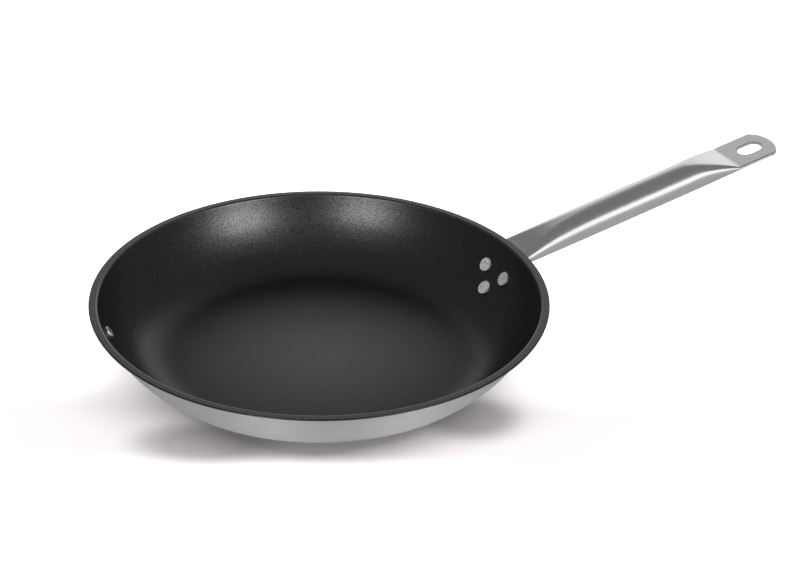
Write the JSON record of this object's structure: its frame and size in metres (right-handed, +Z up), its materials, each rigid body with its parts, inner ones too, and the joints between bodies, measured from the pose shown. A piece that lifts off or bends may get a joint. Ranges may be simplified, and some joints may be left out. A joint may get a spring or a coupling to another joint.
{
  "type": "omelette pan",
  "caption": "Shallow flared pan with a flat rim, a black non-stick inside, a bonded sandwich base and a steel tube handle riveted to the wall, ending in a plate with a hang hole.",
  "frame": {"origin": "centre of the flat face under the base, on the pan's axis", "axes": "+Z up along the pan's axis, +X from the axis along the handle, +Y to the left of the handle"},
  "size_m": [0.4791, 0.28, 0.077],
  "materials": {
    "body_steel": "satin stainless steel",
    "coating": "black non-stick coating with a fine grain",
    "disc_aluminium": "plain aluminium, hidden inside the base",
    "base_steel": "circular brushed stainless steel",
    "handle_steel": "lengthwise brushed stainless steel",
    "rivet_steel": "matt blasted steel"
  },
  "bodies": {
    "root": {"pan_body": "body_steel", "nonstick_coating": "coating", "base_disc": "disc_aluminium", "base_cap": "base_steel", "handle": "handle_steel", "handle_rivets": "rivet_steel", "plug_rivet": "rivet_steel"}
  },
  "joints": []
}
